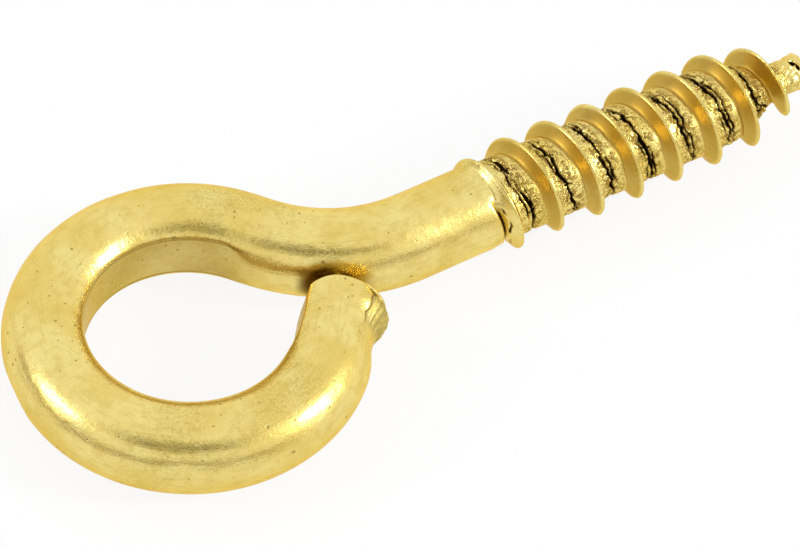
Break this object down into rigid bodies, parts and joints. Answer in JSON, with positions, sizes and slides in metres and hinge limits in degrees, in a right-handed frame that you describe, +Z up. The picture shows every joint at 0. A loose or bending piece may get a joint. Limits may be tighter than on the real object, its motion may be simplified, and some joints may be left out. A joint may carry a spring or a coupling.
{
  "type": "screw eye",
  "caption": "Closed screw eye of round brass wire: a ring sheared off just short of the neck, a plain shank and a coarse right-hand wood thread with a blunt, worn point.",
  "frame": {"origin": "centre of the eye, midway through the thickness of the wire", "axes": "+X from the eye towards the point of the screw, level with the table it lies on, so the screw's own axis rises by about 1 degree towards the point and swings about 1 degree towards -Y; +Y towards the side of the eye that the neck leaves from; +Z up from the table, out of the face of the eye"},
  "size_m": [0.0349, 0.014, 0.0045],
  "materials": {
    "brass": "bright drawn brass, lightly scratched and tarnished, rough in the root of the thread"
  },
  "bodies": {
    "root": {"screw_eye": "brass"}
  },
  "joints": []
}
